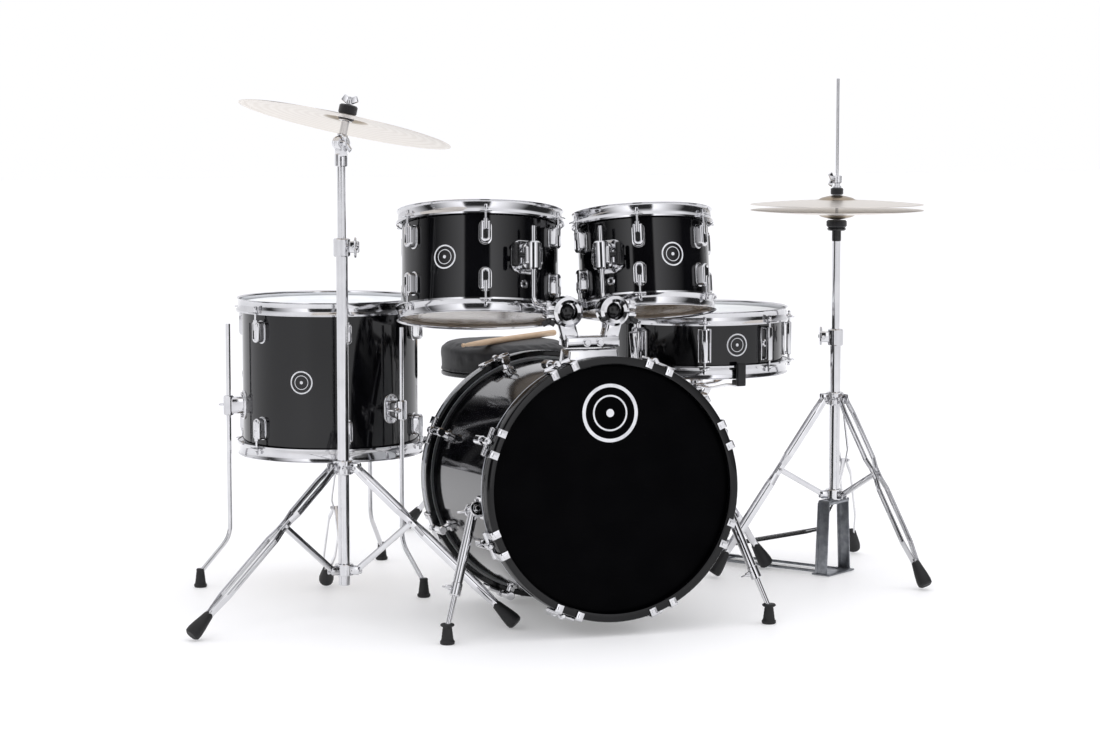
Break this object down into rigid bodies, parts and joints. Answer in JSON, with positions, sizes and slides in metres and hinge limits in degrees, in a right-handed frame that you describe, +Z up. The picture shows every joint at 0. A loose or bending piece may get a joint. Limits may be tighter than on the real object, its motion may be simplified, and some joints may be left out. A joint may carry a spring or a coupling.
{
  "type": "acoustic drum kit",
  "caption": "Drum kit: bass drum with two mounted toms, floor tom, snare on a stand, crash cymbal on a folding stand, hi-hat with pedal, round throne and bass pedal.",
  "frame": {"origin": "floor level under the middle of the bounding box of the whole kit", "axes": "+Z up, the bass drum lies along Y with its front head facing -Y, the hi-hat is on the +X side"},
  "size_m": [1.5948, 1.3714, 1.027],
  "materials": {
    "black_wrap": "high gloss black wrap over a wood shell",
    "black_lacquer": "high gloss black lacquer",
    "chrome_plate": "polished chrome plate on steel",
    "chrome_hoop": "polished chrome plate on pressed steel",
    "coated_film": "white coated drum head",
    "clear_film": "smoky film drum head",
    "black_film": "satin black film",
    "bronze": "turned bronze, pale and bright",
    "grey_steel": "satin grey",
    "black_board": "satin black",
    "black_vinyl": "black vinyl"
  },
  "bodies": {
    "kit": {"bass_shell": "black_wrap", "bass_front_hoop": "black_lacquer", "bass_rear_hoop": "black_lacquer", "bass_front_head": "black_film", "bass_rear_head": "coated_film", "tom_holder": "chrome_plate", "floor_tom_shell": "black_wrap", "floor_tom_top_hoop": "chrome_hoop", "floor_tom_bottom_hoop": "chrome_hoop", "floor_tom_batter_head": "coated_film", "floor_tom_resonant_head": "clear_film", "crash_mast": "chrome_plate", "snare_stand_base": "chrome_plate", "hihat_stand": "grey_steel", "throne_base": "chrome_plate", "pedal_frame": "grey_steel"},
    "spur_left": {"spur_tube_left": "chrome_plate"},
    "spur_left_foot": {"spur_foot_left": "chrome_plate"},
    "spur_right": {"spur_tube_right": "chrome_plate"},
    "spur_right_foot": {"spur_foot_right": "chrome_plate"},
    "tom12_arm": {"tom12_arm": "chrome_plate"},
    "tom12": {"tom12_shell": "black_wrap", "tom12_top_hoop": "chrome_hoop", "tom12_bottom_hoop": "chrome_hoop", "tom12_batter_head": "coated_film", "tom12_resonant_head": "clear_film"},
    "tom10_arm": {"tom10_arm": "chrome_plate"},
    "tom10": {"tom10_shell": "black_wrap", "tom10_top_hoop": "chrome_hoop", "tom10_bottom_hoop": "chrome_hoop", "tom10_batter_head": "coated_film", "tom10_resonant_head": "clear_film"},
    "floor_leg_left": {"floor_tom_leg_left": "chrome_plate"},
    "floor_leg_right": {"floor_tom_leg_right": "chrome_plate"},
    "floor_leg_rear": {"floor_tom_leg_rear": "chrome_plate"},
    "snare_stem": {"snare_stand_stem": "chrome_plate"},
    "snare": {"snare_basket": "chrome_plate", "snare_shell": "black_wrap", "snare_top_hoop": "chrome_hoop", "snare_bottom_hoop": "chrome_hoop", "snare_batter_head": "coated_film", "snare_resonant_head": "clear_film"},
    "crash_collar": {"crash_collar": "chrome_plate"},
    "crash_leg_left": {"crash_leg_left": "chrome_plate"},
    "crash_leg_right": {"crash_leg_right": "chrome_plate"},
    "crash_leg_rear": {"crash_leg_rear": "chrome_plate"},
    "crash_brace_left": {"crash_brace_left": "chrome_plate"},
    "crash_brace_right": {"crash_brace_right": "chrome_plate"},
    "crash_brace_rear": {"crash_brace_rear": "chrome_plate"},
    "crash_upper": {"crash_upper_tube": "chrome_plate"},
    "crash_tilter": {"crash_tilter": "chrome_plate"},
    "crash_cymbal": {"crash_cymbal": "bronze"},
    "hihat_upper": {"hihat_upper_tube": "chrome_plate", "hihat_bottom_cymbal": "bronze"},
    "hihat_pull": {"hihat_pull_rod": "chrome_plate", "hihat_top_cymbal": "bronze"},
    "hihat_footboard": {"hihat_footboard": "black_board"},
    "throne_seat": {"throne_seat": "black_vinyl"},
    "pedal_footboard": {"pedal_footboard": "grey_steel"},
    "pedal_beater": {"pedal_beater": "chrome_plate"}
  },
  "joints": [
    {"name": "spur_left_fold", "type": "hinge", "parent": "kit", "child": "spur_left", "pos_m": [-0.28457, -0.59135, 0.23407], "axis": [0.0701, -0.9609, 0.2681], "range_deg": [-100, 0]},
    {"name": "spur_left_extend", "type": "slide", "parent": "spur_left", "child": "spur_left_foot", "axis": [-0.3078, -0.2764, -0.9104], "range_m": [-0.015, 0.05]},
    {"name": "spur_right_fold", "type": "hinge", "parent": "kit", "child": "spur_right", "pos_m": [0.20743, -0.59135, 0.23407], "axis": [-0.0701, -0.9609, 0.2681], "range_deg": [0, 100]},
    {"name": "spur_right_extend", "type": "slide", "parent": "spur_right", "child": "spur_right_foot", "axis": [0.3078, -0.2764, -0.9104], "range_m": [-0.015, 0.05]},
    {"name": "tom12_tilt", "type": "hinge", "parent": "kit", "child": "tom12_arm", "pos_m": [-0.08457, -0.52631, 0.58887], "axis": [-0.9108, -0.4128, 0], "range_deg": [-10, 6]},
    {"name": "tom12_height", "type": "slide", "parent": "tom12_arm", "child": "tom12", "axis": [0.0574, 0.182, 0.9816], "range_m": [-0.03, 0.04]},
    {"name": "tom10_tilt", "type": "hinge", "parent": "kit", "child": "tom10_arm", "pos_m": [0.00743, -0.52631, 0.58887], "axis": [-0.9962, 0.0876, 0], "range_deg": [-10, 6]},
    {"name": "tom10_height", "type": "slide", "parent": "tom10_arm", "child": "tom10", "axis": [0.0199, 0.1898, 0.9816], "range_m": [-0.03, 0.04]},
    {"name": "floor_tom_leg_left_slide", "type": "slide", "parent": "kit", "child": "floor_leg_left", "axis": [0, 0, 1], "range_m": [-0.1, 0.085]},
    {"name": "floor_tom_leg_right_slide", "type": "slide", "parent": "kit", "child": "floor_leg_right", "axis": [0, 0, 1], "range_m": [-0.1, 0.02]},
    {"name": "floor_tom_leg_rear_slide", "type": "slide", "parent": "kit", "child": "floor_leg_rear", "axis": [0, 0, 1], "range_m": [-0.1, 0.085]},
    {"name": "snare_height", "type": "slide", "parent": "kit", "child": "snare_stem", "axis": [0, 0, 1], "range_m": [-0.02, 0.012]},
    {"name": "snare_tilt", "type": "hinge", "parent": "snare_stem", "child": "snare", "pos_m": [0.34843, -0.08631, 0.372], "axis": [1, 0, 0], "range_deg": [-6, 5]},
    {"name": "crash_collar_slide", "type": "slide", "parent": "kit", "child": "crash_collar", "axis": [0, 0, 1], "range_m": [-0.0005, 0.10259]},
    {"name": "crash_leg_left_fold", "type": "hinge", "parent": "crash_collar", "child": "crash_leg_left", "pos_m": [-0.4925, -0.35447, 0.289], "axis": [0.3907, -0.9205, 0], "range_deg": [0, 43]},
    {"name": "crash_brace_left_fold", "type": "hinge", "parent": "kit", "child": "crash_brace_left", "pos_m": [-0.4925, -0.35447, 0.09282], "axis": [0.3907, -0.9205, 0], "range_deg": [-43.5, 0.5]},
    {"name": "crash_leg_right_fold", "type": "hinge", "parent": "crash_collar", "child": "crash_leg_right", "pos_m": [-0.44797, -0.36017, 0.289], "axis": [0.6101, 0.7923, 0], "range_deg": [-0.5, 43.5]},
    {"name": "crash_brace_right_fold", "type": "hinge", "parent": "kit", "child": "crash_brace_right", "pos_m": [-0.44797, -0.36017, 0.09282], "axis": [0.6101, 0.7923, 0], "range_deg": [-43.5, 0.5]},
    {"name": "crash_leg_rear_fold", "type": "hinge", "parent": "crash_collar", "child": "crash_leg_rear", "pos_m": [-0.46509, -0.31854, 0.289], "axis": [-0.991, 0.134, 0], "range_deg": [-0.5, 43.5]},
    {"name": "crash_brace_rear_fold", "type": "hinge", "parent": "kit", "child": "crash_brace_rear", "pos_m": [-0.46509, -0.31854, 0.09282], "axis": [-0.991, 0.134, 0], "range_deg": [-43.5, 0.5]},
    {"name": "crash_height", "type": "slide", "parent": "kit", "child": "crash_upper", "axis": [0, 0, 1], "range_m": [-0.07, 0.15]},
    {"name": "crash_tilt", "type": "hinge", "parent": "crash_upper", "child": "crash_tilter", "pos_m": [-0.46857, -0.34431, 0.902], "axis": [-0.2041, 0.9789, 0], "range_deg": [-20, 20]},
    {"name": "crash_spin", "type": "hinge", "parent": "crash_tilter", "child": "crash_cymbal", "pos_m": [-0.46857, -0.34431, 0.902], "axis": [0.2285, 0.0476, 0.9724], "continuous": true},
    {"name": "hihat_height", "type": "slide", "parent": "kit", "child": "hihat_upper", "axis": [0, 0, 1], "range_m": [-0.08, 0.008]},
    {"name": "hihat_pull", "type": "slide", "parent": "kit", "child": "hihat_pull", "axis": [0, 0, 1], "range_m": [-0.0095, 0], "stiffness_N_per_m": 1000, "springref_m": 0.035},
    {"name": "hihat_pedal", "type": "hinge", "parent": "kit", "child": "hihat_footboard", "pos_m": [0.44908, 0.06363, 0.024], "axis": [0.8231, 0.5678, 0], "range_deg": [-0.2, 2.4]},
    {"name": "throne_spin", "type": "hinge", "parent": "kit", "child": "throne_seat", "pos_m": [0.12443, 0.53569, 0.4], "axis": [0, 0, 1], "continuous": true},
    {"name": "pedal_beater_swing", "type": "hinge", "parent": "kit", "child": "pedal_beater", "pos_m": [-0.03857, -0.17131, 0.205], "axis": [1, 0, 0], "range_deg": [0, 52], "stiffness_Nm_per_rad": 1.2, "springref_deg": -34.38},
    {"name": "pedal_press", "type": "hinge", "parent": "kit", "child": "pedal_footboard", "pos_m": [-0.03857, 0.14069, 0.024], "axis": [1, 0, 0], "range_deg": [-0.3, 11.8]}
  ],
  "couplings": [
    {"joint": "crash_collar_slide", "follows": "crash_leg_left_fold", "m_per_rad": 0.13603},
    {"joint": "crash_brace_left_fold", "follows": "crash_leg_left_fold", "ratio": -1},
    {"joint": "crash_leg_right_fold", "follows": "crash_leg_left_fold", "ratio": 1},
    {"joint": "crash_brace_right_fold", "follows": "crash_leg_left_fold", "ratio": -1},
    {"joint": "crash_leg_rear_fold", "follows": "crash_leg_left_fold", "ratio": 1},
    {"joint": "crash_brace_rear_fold", "follows": "crash_leg_left_fold", "ratio": -1},
    {"joint": "hihat_pedal", "follows": "hihat_pull", "rad_per_m": -3.7594},
    {"joint": "pedal_press", "follows": "pedal_beater_swing", "ratio": 0.22}
  ]
}
